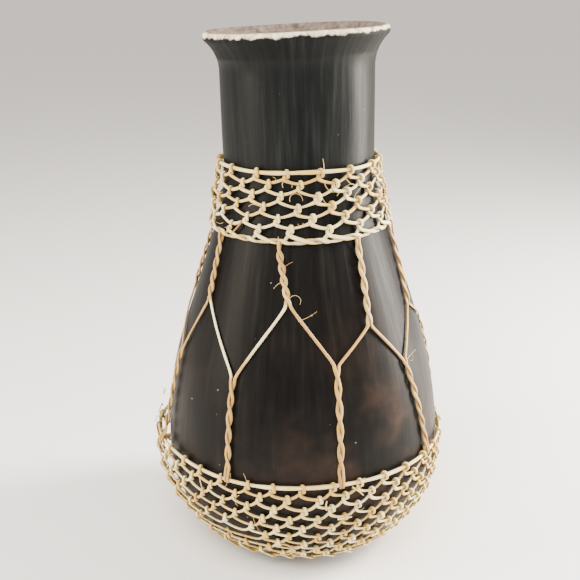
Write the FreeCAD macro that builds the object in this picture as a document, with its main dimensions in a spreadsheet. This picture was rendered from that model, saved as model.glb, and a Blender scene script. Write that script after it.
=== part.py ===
"""A barro negro clay pot in a looped cane net.

The pot is one turned clay shell. The net lies on it: two hoops, courses of half hitches round the
neck and under the belly, a two-strand ring at the neck's foot, eight hanger strands that are folded
over that ring and hooked round the base hoop, and a closing ring near the foot. Millimetres, +Z up,
origin at the centre of the foot.

A place on the clay is given as (angle, along, lift): the angle round the axis in radians, counted
from the front (-Y) towards +X, the distance along the outside of the clay from the foot's edge, and
the height above the clay.
"""
import FreeCAD
import Part
import Sketcher
import os
from math import asin, atan2, cos, hypot, pi, radians, sin, tan
from FreeCAD import Vector

doc = FreeCAD.newDocument("clay_pot_with_net")

# ---------------------------------------------------------------- driving dimensions
SIZES = [
    ("height", 364, "foot to the top of the lip"),
    ("foot_radius", 48, "flat foot"),
    ("belly_radius", 98, "clay at its widest"),
    ("belly_height", 74, "height of the widest place"),
    ("shoulder_radius", 280, "curve of the side above the belly"),
    ("cone_angle", 18.5, "lean of the straight shoulder, degrees"),
    ("neck_radius", 51, "outside of the neck"),
    ("neck_curve", 120, "hollow curve between shoulder and neck"),
    ("flare_radius", 26, "hollow curve under the lip"),
    ("flare_angle", 48, "how far the lip turns out, degrees"),
    ("wall", 7, "clay wall"),
    ("floor", 10, "clay floor"),
    ("floor_fillet", 8, "inside corner of the floor"),
    ("foot_fillet", 3, "rounded edge of the foot"),
    ("cane_radius", 1.15, "strand of the courses"),
    ("ply_radius", 1.1, "strand of the hangers"),
    ("neck_hoop_radius", 1.4, "strand of the neck hoop"),
    ("base_hoop_radius", 1.6, "strand of the base hoop"),
    ("gap", 0.14, "clearance between strands, and to the clay"),
    ("neck_hoop_drop", 0.6, "neck hoop below the foot of the straight neck"),
    ("base_hoop_rise", 8.7, "base hoop above the widest place"),
    ("neck_row", 6.25, "from one neck course to the next, in strand radii"),
    ("ring_drop", 6.9, "neck ring below the last row of knots, in strand radii"),
    ("base_row", 6.96, "from one base course to the next, in strand radii"),
    ("closing_drop", 8.6, "closing ring below the last row of knots, in strand radii"),
    ("neck_loops", 16, "loops round the neck"),
    ("base_pitch", 16.2, "width of a base loop at the belly, in strand radii"),
]
sheet = doc.addObject("Spreadsheet::Sheet", "sizes")
for line, (name, value, note) in enumerate(SIZES, start=1):
    sheet.set("A%d" % line, name)
    sheet.set("B%d" % line, str(value))
    sheet.set("C%d" % line, note)
    sheet.setAlias("B%d" % line, name)
doc.recompute()


def size(name):
    return float(sheet.get(name))


NECK_COURSES = 5
BASE_COURSES = 9
HANGERS = 8
LEAN = 0.43          # step to the next row of neck knots, in loops: the net drifts a little
HALF = 0.5           # the same step on the base, where knots sit half way along the loops above
RING_LOW = 0.68      # where along its loop the ring course hangs lowest

height = size("height")
belly_radius = size("belly_radius")
belly_height = size("belly_height")
shoulder_radius = size("shoulder_radius")
cone = radians(size("cone_angle"))
neck_radius = size("neck_radius")
neck_curve = size("neck_curve")
flare_radius = size("flare_radius")
flare = radians(size("flare_angle"))
wall = size("wall")
foot_radius = size("foot_radius")
cane = size("cane_radius")
ply = size("ply_radius")
gap = size("gap")
neck_loops = int(size("neck_loops"))
base_loops = round(2 * pi * belly_radius / (size("base_pitch") * cane))

# ---------------------------------------------------------------- outside line of the clay
swell = belly_radius - foot_radius
base_radius = (swell ** 2 + belly_height ** 2) / (2 * swell)
base_turn = asin(belly_height / base_radius)
base_centre = belly_radius - base_radius
shoulder_centre = belly_radius - shoulder_radius
neck_centre = neck_radius + neck_curve
shoulder_top = (shoulder_centre + shoulder_radius * cos(cone),
                belly_height + shoulder_radius * sin(cone))
cone_top_radius = neck_centre - neck_curve * cos(cone)
cone_top_height = shoulder_top[1] + (shoulder_top[0] - cone_top_radius) / tan(cone)
neck_height = cone_top_height + neck_curve * sin(cone)
flare_height = height - wall / 2 - (flare_radius + wall / 2) * sin(flare)
flare_centre = neck_radius + flare_radius

ALONG_BELLY = base_radius * base_turn
ALONG_SHOULDER = ALONG_BELLY + shoulder_radius * cone
ALONG_CONE = ALONG_SHOULDER + hypot(shoulder_top[0] - cone_top_radius,
                                    cone_top_height - shoulder_top[1])
ALONG_NECK = ALONG_CONE + neck_curve * cone


def clay(along):
    """Radius, height and outward direction of the clay, this far along its outside."""
    if along < ALONG_BELLY:
        turn = along / base_radius - base_turn
        return (base_centre + base_radius * cos(turn), belly_height + base_radius * sin(turn),
                cos(turn), sin(turn))
    if along < ALONG_SHOULDER:
        turn = (along - ALONG_BELLY) / shoulder_radius
        return (shoulder_centre + shoulder_radius * cos(turn),
                belly_height + shoulder_radius * sin(turn), cos(turn), sin(turn))
    if along < ALONG_CONE:
        run = along - ALONG_SHOULDER
        return (shoulder_top[0] - run * sin(cone), shoulder_top[1] + run * cos(cone),
                cos(cone), sin(cone))
    if along < ALONG_NECK:
        turn = cone - (along - ALONG_CONE) / neck_curve
        return (neck_centre - neck_curve * cos(turn), neck_height - neck_curve * sin(turn),
                cos(turn), sin(turn))
    return (neck_radius, neck_height + along - ALONG_NECK, 1.0, 0.0)


def reach(along, lift):
    """Distance from the axis at this lift above the clay."""
    radius, _, out, _ = clay(along)
    return radius + lift * out


def place(angle, along, lift):
    """A point of the model from its place on the clay."""
    radius, z, out, up = clay(along)
    around = radius + lift * out
    return Vector(around * sin(angle), -around * cos(angle), z + lift * up)


def waver(number, row):
    """The unevenness of hand work: between -1 and 1, different for each knot."""
    return 0.6 * sin(1.9 * number + 2.3 * row) + 0.4 * sin(3.7 * number - 1.1 * row)


# ---------------------------------------------------------------- where the net's rows lie
lay = 3 * cane + 2 * gap                      # a course's centre line above the clay
neck_hoop_lift = size("neck_hoop_radius") + 2 * cane + 2 * gap
base_hoop_lift = size("base_hoop_radius") + 2 * cane + 2 * gap
neck_row = size("neck_row") * cane
base_row = size("base_row") * cane
neck_hoop_along = ALONG_NECK - size("neck_hoop_drop")
base_hoop_along = ALONG_BELLY + size("base_hoop_rise")
ring_along = neck_hoop_along - NECK_COURSES * neck_row - size("ring_drop") * cane
closing_along = base_hoop_along - (BASE_COURSES - 1) * base_row - size("closing_drop") * cane
ring_twist = 1.45 * cane                      # corners of the ring's two twisted strands
ring_lift = lay + 0.4 * cane
closing_lift = lay + 0.17 * cane


class Knots:
    """The knots of one net, row below row."""

    def __init__(self, loops, first_angle, top, row_step, side_step, uneven_angle, uneven_along):
        self.loops = loops
        self.pitch = 2 * pi / loops
        self.first_angle = radians(first_angle)
        self.top = top
        self.row_step = row_step
        self.side_step = side_step
        self.uneven_angle = radians(uneven_angle)
        self.uneven_along = uneven_along

    def at(self, row, number):
        """Angle and place along the clay of a knot; numbers past the last go round again."""
        turns, number = divmod(number, self.loops)
        angle = self.first_angle + (number + row * self.side_step) * self.pitch + 2 * pi * turns
        angle += self.uneven_angle * waver(number, row)
        along = self.top - row * self.row_step
        if row > 0:
            along += self.uneven_along * waver(number + 5, row + 3)
        return angle, along


neck_knots = Knots(neck_loops, -187.5, neck_hoop_along, neck_row, LEAN, 1.0, 0.4)
base_knots = Knots(base_loops, -174.8, base_hoop_along, base_row, HALF, 0.5, 0.4)


def hitch(knot, lift, held):
    """One half hitch round a strand of radius held: in from below, up the front, over, down the back
    and out across the arriving strand."""
    angle, along = knot
    around = reach(along, lift)
    wrap = held + cane + gap
    extra = held - cane
    corners = [
        (-1.1 * cane, -4.15 * cane - 0.6 * extra, -1.35 * cane),
        (0.86 * cane, -2.94 * cane - 0.3 * extra, -0.42 * cane),
        (1.5 * cane, -0.91 * wrap, 0.965 * wrap),
        (0.9 * cane, 1.03 * wrap, 1.045 * wrap),
        (0.0, wrap, -0.985 * wrap),
        (-1.4 * cane, -0.65 * wrap, -1.03 * wrap),
        (-2.0 * cane, -3.1 * cane - 0.3 * extra, 1.25 * cane),
        (-1.3 * cane, -5.13 * cane, 0.9 * cane),
    ]
    return [(angle + side / around, along + up, lift + out) for side, up, out in corners]


def with_ends(points, first_knot, lift):
    """Open the strand at its first knot: the start hangs in front as a short tail, and the end is
    tucked behind that knot."""
    angle, along = first_knot
    around = reach(along, lift)
    start = (angle + 2.3 * cane / around, along - 3.9 * cane, lift + 1.9 * cane)
    arrival = (points[0][0] + 2 * pi, points[0][1], points[0][2])
    end = (angle + 2 * pi + 0.1 * cane / around, along - 3.5 * cane, lift - 0.9 * cane)
    return [start] + points[2:] + [arrival, end]


def course(knots, row, held, held_lift):
    """A course of hitches on the strand above, with its loops hanging to the next row."""
    bow = 2.25 * cane                         # half the level stretch where the next row is tied
    points = []
    for number in range(knots.loops):
        points += hitch(knots.at(row, number), held_lift, held)
        angle, along = knots.at(row + 1, number)
        around = reach(along, lay)
        points.append((angle - bow / around, along, lay))
        points.append((angle + bow / around, along + gap, lay))
    return with_ends(points, knots.at(row, 0), held_lift)


def last_course(knots, row):
    """The lowest course: its loops go round the closing ring, down its front and up its back."""
    wrap = 2.13 * cane + gap
    points = []
    for number in range(knots.loops):
        points += hitch(knots.at(row, number), lay, cane)
        angle, _ = knots.at(row + 1, number)
        around = reach(closing_along, lay)
        for side, up, out in ((-2.2, 0.9 * cane, wrap), (-0.9, -wrap, wrap),
                              (0.9, -wrap, -wrap), (2.2, 0.9 * cane, -wrap)):
            points.append((angle + side * cane / around, closing_along + up, closing_lift + out))
    return with_ends(points, knots.at(row, 0), lay)


def ring_strands():
    """The neck ring: a course with shallow loops, and a second strand twisted round it."""
    beside = 0.17 * cane                      # room where one strand passes behind the other
    end_gap = 1.8 * cane / reach(ring_along, ring_lift)
    looped = []
    laid = []
    for number in range(neck_loops):
        angle, along = neck_knots.at(NECK_COURSES, number)
        pitch = neck_knots.at(NECK_COURSES, number + 1)[0] - angle
        looped += hitch((angle, along), lay, cane)
        looped.append((angle + 0.36 * pitch, ring_along, ring_lift + ring_twist))
        looped.append((angle + RING_LOW * pitch, ring_along - ring_twist, ring_lift))
        looped.append((angle + 0.82 * pitch, ring_along - beside, ring_lift - ring_twist))
        laid.append((angle - 0.03 * pitch, ring_along - ring_twist, ring_lift))
        laid.append((angle + 0.36 * pitch, ring_along, ring_lift - ring_twist))
        laid.append((angle + RING_LOW * pitch, ring_along + ring_twist, ring_lift))
        laid.append((angle + 0.82 * pitch, ring_along + beside, ring_lift + ring_twist))
    looped = with_ends(looped, neck_knots.at(NECK_COURSES, 0), lay)
    laid.append((laid[0][0] + 2 * pi - end_gap, ring_along - ring_twist, ring_lift))
    return looped, laid


# ---------------------------------------------------------------- hangers
# Tied by hand: the angle of each place where two plies part (forks) or meet (joins), and how far down
# it is, as a share of the way from the neck ring to the base hoop. ENDS are the angles where the legs
# reach the base hoop; each moves to the nearest knot there.
FORKS = [(-54, 0.28), (-6, 0.25), (34, 0.36), (68, 0.35), (122, 0.27), (170, 0.33), (212, 0.26),
         (262, 0.31)]
JOINS = [(-70.5, 0.56), (-30, 0.575), (15, 0.51), (50.5, 0.56), (100, 0.54), (150, 0.58), (194, 0.53),
         (240, 0.57)]
ENDS = [-74, -30, 14, 57, 101, 156, 199, 243]
FIRST_TOP = 3                                 # ring knot left of the first hanger
UPPER_QUARTERS = 9                            # quarter turns of twist above the fork
LOWER_QUARTERS = 10                           # quarter turns of twist below the join
FOLD_LENGTH = 4                               # straight length under the fold, before the twist
TWIST_END = 9.5                               # the lower twist ends this far above the base hoop
FRONT_TUCK = 3.0                              # the hook starts this far above the hoop, in front
BACK_TUCK = 4.2                               # and its end stands this far above it, behind
RIGHT, FRONT, LEFT, BACK = 0, 1, 2, 3         # a ply's side of its leg, in quarter turns
ply_twist = 1.55 * ply                        # corners of two plies twisted together
leg_lift = 2.45 * ply + gap
single_lift = 1.41 * ply + gap                # a ply on its own, between fork and join


def share_along(share):
    return ring_along - share * (ring_along - base_hoop_along)


def hanger_top(number):
    """A hanger is folded over the ring where the ring course hangs lowest."""
    knot = round(number * neck_loops / HANGERS) + FIRST_TOP
    left = neck_knots.at(NECK_COURSES, knot)[0]
    right = neck_knots.at(NECK_COURSES, knot + 1)[0]
    return left + RING_LOW * (right - left)


def hanger_end(number):
    """A leg ends on the base hoop just right of a knot."""
    beside = (2.6 * cane + 2 * ply + 3 * gap) / reach(base_hoop_along, base_hoop_lift)
    knot = round((radians(ENDS[number]) - beside - base_knots.first_angle) / base_knots.pitch)
    return base_knots.at(0, knot)[0] + beside


def twisted(top, bottom, start_side, quarters):
    """One ply of a twisted leg, from top to bottom as (angle, along), turning clockwise seen from
    above."""
    around = reach((top[1] + bottom[1]) / 2, leg_lift)
    slant = atan2(around * (bottom[0] - top[0]), top[1] - bottom[1])
    points = []
    for quarter in range(quarters + 1):
        share = quarter / quarters
        angle = top[0] + (bottom[0] - top[0]) * share
        along = top[1] + (bottom[1] - top[1]) * share
        phase = pi / 2 * (start_side - quarter)
        side = ply_twist * cos(phase) / cos(slant) / reach(along, leg_lift)
        points.append((angle + side, along, leg_lift + ply_twist * sin(phase)))
    return points


def near(angle, other):
    """The same angle, written in the turn that lies closest to the other."""
    return angle + 2 * pi * round((other - angle) / (2 * pi))


def half_hanger(number, right):
    """From the fold over the ring down to the base hoop, to the right or to the left."""
    top = hanger_top(number)
    fork, fork_share = FORKS[number]
    fork = near(radians(fork), top)
    meeting = number + 1 if right else number
    join, join_share = JOINS[meeting % HANGERS]
    join = near(radians(join), fork)
    end = near(hanger_end(meeting % HANGERS), join)
    facing = 1 if right else -1
    over = 0.74 * ring_twist + cane + ply + 2 * gap
    clear = cane + 1.32 * ply + gap
    points = [(top, ring_along + over, ring_lift + facing * clear),
              (top, ring_along - over, ring_lift + facing * clear)]
    points += twisted((top, ring_along - over - FOLD_LENGTH), (fork, share_along(fork_share)),
                      FRONT if right else BACK, UPPER_QUARTERS)
    lower = twisted((join, share_along(join_share)), (end, base_hoop_along + TWIST_END),
                    LEFT if right else RIGHT, LOWER_QUARTERS)
    from_angle, from_along, _ = points[-1]
    to_angle, to_along, _ = lower[0]
    for share in (1 / 3, 2 / 3):
        points.append((from_angle + (to_angle - from_angle) * share,
                       from_along + (to_along - from_along) * share, single_lift))
    points += lower
    hook = size("base_hoop_radius") + ply + gap
    beside = facing * (ply + gap) / reach(base_hoop_along, base_hoop_lift)
    for up, out in ((FRONT_TUCK, hook), (-hook, hook), (-hook, -hook), (BACK_TUCK, -hook)):
        points.append((end + beside, base_hoop_along + up, base_hoop_lift + out))
    return points


def hanger(number):
    return half_hanger(number, False)[::-1] + half_hanger(number, True)


# ---------------------------------------------------------------- making the sub-parts
BEND = 0.45          # share of the shorter run that each tangent arc takes
subparts = []
strands = []


def bent_path(points):
    """Straight runs joined by tangent arcs, and the smallest radius among them."""
    edges = []
    radii = []
    here = points[0]
    for before, corner, after in zip(points, points[1:], points[2:]):
        inward = corner - before
        outward = after - corner
        turn = inward.getAngle(outward)
        cut = BEND * min(inward.Length, outward.Length)
        inward.normalize()
        outward.normalize()
        radius = cut / tan(turn / 2)
        radii.append(radius)
        start = corner - inward * cut
        end = corner + outward * cut
        middle = corner + (outward - inward).normalize() * (radius / cos(turn / 2) - radius)
        edges.append(Part.LineSegment(here, start).toShape())
        edges.append(Part.Arc(start, middle, end).toShape())
        here = end
    edges.append(Part.LineSegment(here, points[-1]).toShape())
    return Part.Wire(edges), min(radii)


def strand(name, places, radius_name):
    """A round strand swept along a bent path on the clay."""
    points = [place(*spot) for spot in places]
    wire, tightest = bent_path(points)
    path = doc.addObject("Part::Feature", name + "_path")
    path.Shape = wire
    section = doc.addObject("Part::Circle", name + "_section")
    section.setExpression("Radius", "sizes." + radius_name)
    along_strand = FreeCAD.Rotation(Vector(0, 0, 1), points[1] - points[0])
    section.Placement = FreeCAD.Placement(points[0], along_strand)
    sweep = doc.addObject("Part::Sweep", name)
    sweep.Label = name
    sweep.Sections = [section]
    sweep.Spine = (path, [])
    sweep.Solid = True
    sweep.Frenet = False
    sweep.Transition = "Transformed"
    subparts.append(sweep)
    strands.append((sweep, wire.Length, size(radius_name), tightest))


def hoop(name, along, lift, radius_name):
    """A plain ring round the pot."""
    centre = place(0, along, lift)
    torus = doc.addObject("Part::Torus", name)
    torus.Label = name
    torus.Radius1 = -centre.y
    torus.setExpression("Radius2", "sizes." + radius_name)
    torus.Placement = FreeCAD.Placement(Vector(0, 0, centre.z), FreeCAD.Rotation())
    subparts.append(torus)


def arc(centre, radius, start, end):
    circle = Part.Circle(Vector(centre[0], centre[1], 0), Vector(0, 0, 1), radius)
    return Part.ArcOfCircle(circle, start, end)


def line(start, end):
    return Part.LineSegment(Vector(start[0], start[1], 0), Vector(end[0], end[1], 0))


def on(middle, radius, turn):
    """The point of a circle at this turn."""
    return (middle[0] + radius * cos(turn), middle[1] + radius * sin(turn))


def draw_clay_section(sketch):
    """Half the pot's section: up the outside from foot to lip, then down the inside to the floor.
    Every size is bound to its cell; the drawing starts at the solved shape."""
    floor = size("floor")
    inner_base = base_radius - wall
    floor_turn = -asin((belly_height - floor) / inner_base)
    base_middle = (base_centre, belly_height)
    shoulder_middle = (shoulder_centre, belly_height)
    neck_middle = (neck_centre, neck_height)
    flare_middle = (flare_centre, flare_height)
    lip_middle = on(flare_middle, flare_radius + wall / 2, pi - flare)
    floor_edge = on(base_middle, inner_base, floor_turn)
    FOOT, BASE, SHOULDER, CONE, HOLLOW, NECK, FLARE, LIP = range(8)
    IN_FLARE, IN_NECK, IN_HOLLOW, IN_CONE, IN_SHOULDER, IN_BASE, FLOOR, AXIS = range(8, 16)
    sketch.addGeometry([
        line((0, 0), (foot_radius, 0)),
        arc(base_middle, base_radius, -base_turn, 0),
        arc(shoulder_middle, shoulder_radius, 0, cone),
        line(shoulder_top, (cone_top_radius, cone_top_height)),
        arc(neck_middle, neck_curve, pi, pi + cone),
        line((neck_radius, neck_height), (neck_radius, flare_height)),
        arc(flare_middle, flare_radius, pi - flare, pi),
        arc(lip_middle, wall / 2, -flare, pi - flare),
        arc(flare_middle, flare_radius + wall, pi - flare, pi),
        line((neck_radius - wall, flare_height), (neck_radius - wall, neck_height)),
        arc(neck_middle, neck_curve + wall, pi, pi + cone),
        line(on(neck_middle, neck_curve + wall, pi + cone),
             on(shoulder_middle, shoulder_radius - wall, cone)),
        arc(shoulder_middle, shoulder_radius - wall, 0, cone),
        arc(base_middle, inner_base, floor_turn, 0),
        line(floor_edge, (0, floor)),
        line((0, floor), (0, 0)),
    ], False)
    start, end, middle = 1, 2, 3
    origin = (-1, 1)
    for first, first_point, second, second_point in (
            (FOOT, end, BASE, start), (IN_BASE, start, FLOOR, start), (FLOOR, end, AXIS, start),
            (AXIS, end, FOOT, start), (IN_FLARE, middle, FLARE, middle),
            (IN_HOLLOW, middle, HOLLOW, middle), (IN_SHOULDER, middle, SHOULDER, middle), (IN_BASE, middle, BASE, middle)):
        sketch.addConstraint(Sketcher.Constraint("Coincident", first, first_point, second, second_point))
    sketch.addConstraint(Sketcher.Constraint("Coincident", FOOT, start, *origin))
    for first, first_point, second, second_point in (
            (BASE, end, SHOULDER, start), (SHOULDER, end, CONE, start), (CONE, end, HOLLOW, end),
            (HOLLOW, start, NECK, start), (NECK, end, FLARE, end), (FLARE, start, LIP, start),
            (LIP, end, IN_FLARE, start), (IN_FLARE, end, IN_NECK, start), (IN_NECK, end, IN_HOLLOW, start),
            (IN_HOLLOW, end, IN_CONE, start), (IN_CONE, end, IN_SHOULDER, end),
            (IN_SHOULDER, start, IN_BASE, end)):
        sketch.addConstraint(Sketcher.Constraint("Tangent", first, first_point, second, second_point))
    sketch.addConstraint(Sketcher.Constraint("Horizontal", FOOT))
    sketch.addConstraint(Sketcher.Constraint("Horizontal", FLOOR))
    sketch.addConstraint(Sketcher.Constraint("Horizontal", BASE, middle, BASE, end))
    for upright in (AXIS, NECK, IN_NECK):
        sketch.addConstraint(Sketcher.Constraint("Vertical", upright))
    sketch.addConstraint(Sketcher.Constraint("Parallel", CONE, IN_CONE))
    driven = [
        ("foot", ("DistanceX", *origin, FOOT, end, foot_radius), "sizes.foot_radius"),
        ("belly", ("DistanceX", *origin, BASE, end, belly_radius), "sizes.belly_radius"),
        ("widest", ("DistanceY", *origin, BASE, end, belly_height), "sizes.belly_height"),
        ("shoulder", ("Radius", SHOULDER, shoulder_radius), "sizes.shoulder_radius"),
        ("hollow", ("Radius", HOLLOW, neck_curve), "sizes.neck_curve"),
        ("neck", ("DistanceX", *origin, NECK, start, neck_radius), "sizes.neck_radius"),
        ("curl", ("Radius", FLARE, flare_radius), "sizes.flare_radius"),
        ("lip", ("Radius", LIP, wall / 2), "sizes.wall / 2"),
        ("lip_height", ("DistanceY", *origin, LIP, middle, height - wall / 2),
         "sizes.height - sizes.wall / 2"),
        ("thickness", ("DistanceY", *origin, FLOOR, end, floor), "sizes.floor"),
        ("lean", ("Angle", CONE, pi / 2 + cone), "(90 + sizes.cone_angle) * 1 deg"),
        ("turn_out", ("Angle", FLARE, flare), "sizes.flare_angle * 1 deg"),
    ]
    for name, constraint, expression in driven:
        sketch.addConstraint(Sketcher.Constraint(*constraint))
        sketch.renameConstraint(sketch.ConstraintCount - 1, name)
        sketch.setExpression("Constraints." + name, expression)


def origin_feature(body, role):
    return next(feature for feature in body.Origin.OriginFeatures if feature.Role == role)


def round_edge_at(shape, radius, z):
    """The name of the circular edge with this radius and height."""
    for number, edge in enumerate(shape.Edges, start=1):
        curve = edge.Curve
        if not isinstance(curve, Part.Circle):
            continue
        if abs(curve.Radius - radius) < 0.01 and abs(curve.Center.z - z) < 0.01:
            return "Edge%d" % number
    raise ValueError("no round edge of radius %.2f at height %.2f" % (radius, z))


def clay_pot():
    """The turned shell, with a rounded foot and a rounded corner inside its floor."""
    body = doc.addObject("PartDesign::Body", "clay_pot")
    body.Label = "clay_pot"
    sketch = body.newObject("Sketcher::SketchObject", "clay_section")
    sketch.AttachmentSupport = [(origin_feature(body, "XZ_Plane"), "")]
    sketch.MapMode = "FlatFace"
    draw_clay_section(sketch)
    doc.recompute()
    turned = body.newObject("PartDesign::Revolution", "turned_clay")
    turned.Profile = sketch
    turned.ReferenceAxis = (sketch, ["V_Axis"])
    turned.Angle = 360
    doc.recompute()
    floor = size("floor")
    floor_radius = base_centre + (
        (base_radius - wall) ** 2 - (belly_height - floor) ** 2) ** 0.5
    inside = body.newObject("PartDesign::Fillet", "floor_corner")
    inside.Base = (turned, [round_edge_at(turned.Shape, floor_radius, floor)])
    inside.setExpression("Radius", "sizes.floor_fillet")
    doc.recompute()
    foot = body.newObject("PartDesign::Fillet", "foot_edge")
    foot.Base = (inside, [round_edge_at(inside.Shape, foot_radius, 0)])
    foot.setExpression("Radius", "sizes.foot_fillet")
    doc.recompute()
    subparts.append(body)


# ---------------------------------------------------------------- the object, piece by piece
clay_pot()
hoop("neck_hoop", neck_hoop_along, neck_hoop_lift, "neck_hoop_radius")
for row in range(NECK_COURSES):
    held = size("neck_hoop_radius") if row == 0 else cane
    held_lift = neck_hoop_lift if row == 0 else lay
    strand("neck_course_%d" % (row + 1), course(neck_knots, row, held, held_lift), "cane_radius")
ring_course, ring_strand = ring_strands()
strand("ring_course", ring_course, "cane_radius")
strand("ring_strand", ring_strand, "cane_radius")
for number in range(HANGERS):
    strand("hanger_%d" % (number + 1), hanger(number), "ply_radius")
hoop("base_hoop", base_hoop_along, base_hoop_lift, "base_hoop_radius")
for row in range(BASE_COURSES - 1):
    held = size("base_hoop_radius") if row == 0 else cane
    held_lift = base_hoop_lift if row == 0 else lay
    strand("base_course_%d" % (row + 1), course(base_knots, row, held, held_lift), "cane_radius")
strand("base_course_%d" % BASE_COURSES, last_course(base_knots, BASE_COURSES - 1), "cane_radius")
hoop("closing_ring", closing_along, closing_lift, "cane_radius")
doc.recompute()

# ---------------------------------------------------------------- checks and files
for item in doc.Objects:
    if "Invalid" in item.State or "Error" in item.State:
        raise RuntimeError("%s did not build: %s" % (item.Name, item.State))
for piece in subparts:
    if piece.Shape.isNull() or not piece.Shape.isValid():
        raise RuntimeError("%s has no valid shape" % piece.Label)
for sweep, length, radius, tightest in strands:
    expected = pi * radius ** 2 * length
    if abs(sweep.Shape.Volume - expected) > 0.01 * expected:
        raise RuntimeError("%s does not have the volume of its strand" % sweep.Label)
    print("%-15s length %6.0f mm, smallest bend radius %.2f mm" % (sweep.Label, length, tightest))

os.makedirs("parts", exist_ok=True)
for piece in subparts:
    piece.Shape.exportStep("parts/%s.step" % piece.Label)
    print("%-15s volume %9.1f mm3" % (piece.Label, piece.Shape.Volume))
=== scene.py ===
# %% [markdown]
# # A black clay pot in a looped cane net
#
# Barro negro is clay that is rubbed with a smooth stone while it is leather hard, then fired with
# little air, so that it comes out black with a soft sheen. The net is split cane, tied by hand with
# half hitches. This lesson makes the clay as one turned mesh, and every strand of the net from one
# Geometry Nodes tree that follows a route of corner points.

# %% Load the fixed frame
import bpy
from math import asin, atan2, cos, exp, hypot, pi, radians, sin, tan
from mathutils import Matrix, Vector


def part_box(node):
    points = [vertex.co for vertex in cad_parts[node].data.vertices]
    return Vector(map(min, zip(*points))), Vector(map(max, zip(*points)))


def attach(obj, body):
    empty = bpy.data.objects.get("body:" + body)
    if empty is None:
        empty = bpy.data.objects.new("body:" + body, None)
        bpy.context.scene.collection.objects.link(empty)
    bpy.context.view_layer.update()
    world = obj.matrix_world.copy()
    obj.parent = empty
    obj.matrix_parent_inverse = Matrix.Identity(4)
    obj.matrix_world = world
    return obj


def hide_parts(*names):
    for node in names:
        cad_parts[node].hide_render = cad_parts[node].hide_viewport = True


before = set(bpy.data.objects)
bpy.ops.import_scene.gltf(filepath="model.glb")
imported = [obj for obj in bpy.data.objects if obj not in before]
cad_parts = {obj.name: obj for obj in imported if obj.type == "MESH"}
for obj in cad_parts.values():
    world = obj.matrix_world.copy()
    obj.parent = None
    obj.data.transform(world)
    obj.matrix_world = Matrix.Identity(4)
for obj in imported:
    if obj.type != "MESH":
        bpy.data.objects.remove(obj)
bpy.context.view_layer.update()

clay_low, clay_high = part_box("clay_pot")
print("clay is %.0f mm tall and %.0f mm wide" % (clay_high.z * 1000, (clay_high.x - clay_low.x) * 1000))

# %% [markdown]
# ## Small helpers
#
# Blender works in metres, so `mm` turns a size that a maker would say into metres. Colours are
# written as sRGB hex values, as a paint chart gives them, and one function turns them to linear.
# `add` puts a node in a tree with its settings and its links in one line, and the settings that
# come up often have names.

# %% Helpers for sizes, colours, nodes and objects
mm = 0.001
ADD, MULTIPLY, MULTIPLY_ADD = {"operation": "ADD"}, {"operation": "MULTIPLY"}, {"operation": "MULTIPLY_ADD"}
SCALE = {"operation": "SCALE"}
SMOOTH = {"interpolation_type": "SMOOTHSTEP"}
COLOUR = {"data_type": "RGBA"}


def linear(hex_colour):
    """An sRGB hex colour as the linear RGBA that shaders use."""
    channels = [int(hex_colour[place:place + 2], 16) / 255 for place in (1, 3, 5)]
    return tuple(c / 12.92 if c <= 0.04045 else ((c + 0.055) / 1.055) ** 2.4 for c in channels) + (1.0,)


def add(tree, kind, settings=None, **inputs):
    """Add a node. settings are its properties; inputs are values, or the nodes or sockets that feed
    them, by the input's name with _ for a space, or by i and its number. A node gives its first output."""
    made = tree.nodes.new(kind)
    for key, value in (settings or {}).items():
        setattr(made, key, value)
    for key, value in inputs.items():
        by_number = key[0] == "i" and key[1:].isdigit()
        socket = made.inputs[int(key[1:]) if by_number else key.replace("_", " ")]
        if isinstance(value, bpy.types.Node):
            value = value.outputs[0]
        if isinstance(value, bpy.types.NodeSocket):
            tree.links.new(value, socket)
        else:
            socket.default_value = value
    return made


def put(name, data):
    """A new object in the scene."""
    made = bpy.data.objects.new(name, data)
    bpy.context.scene.collection.objects.link(made)
    return made


def empty_material(name):
    """A material and its tree, with no nodes in it yet."""
    made = bpy.data.materials.new(name)
    made.use_nodes = True
    made.node_tree.nodes.clear()
    return made, made.node_tree


def ramp(tree, factor, stops):
    """A colour ramp: stops are (position, hex colour or grey)."""
    made = add(tree, "ShaderNodeValToRGB", Fac=factor)
    while len(made.color_ramp.elements) < len(stops):
        made.color_ramp.elements.new(0.5)
    for element, (position, colour) in zip(made.color_ramp.elements, stops):
        element.position = position
        element.color = linear(colour) if isinstance(colour, str) else (colour, colour, colour, 1)
    return made.outputs["Color"]


# %% [markdown]
# ## The outside line of the clay
#
# A potter thinks of this shape as five runs: a round base, a long shoulder, a straight lean, a
# hollow into the neck, and an upright neck that turns out at the lip. Each is an arc or a line,
# tangent to the next, so the line has only a few sizes. `clay_line` walks along it.

# %% Walk along the outside of the clay
HEIGHT = clay_high.z
BELLY = (clay_high.x - clay_low.x) / 2
FOOT = 48 * mm
BELLY_HEIGHT = 74 * mm
SHOULDER = 280 * mm
LEAN = radians(18.5)
NECK = 51 * mm
HOLLOW = 120 * mm
FLARE = 26 * mm
FLARE_TURN = radians(48)
WALL = 7 * mm
FLOOR = 10 * mm

base_radius = ((BELLY - FOOT) ** 2 + BELLY_HEIGHT ** 2) / (2 * (BELLY - FOOT))
base_turn = asin(BELLY_HEIGHT / base_radius)
shoulder_end = (BELLY - SHOULDER * (1 - cos(LEAN)), BELLY_HEIGHT + SHOULDER * sin(LEAN))
lean_end = NECK + HOLLOW * (1 - cos(LEAN))
lean_top = shoulder_end[1] + (shoulder_end[0] - lean_end) / tan(LEAN)
neck_start = lean_top + HOLLOW * sin(LEAN)
flare_start = HEIGHT - WALL / 2 - (FLARE + WALL / 2) * sin(FLARE_TURN)

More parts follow.
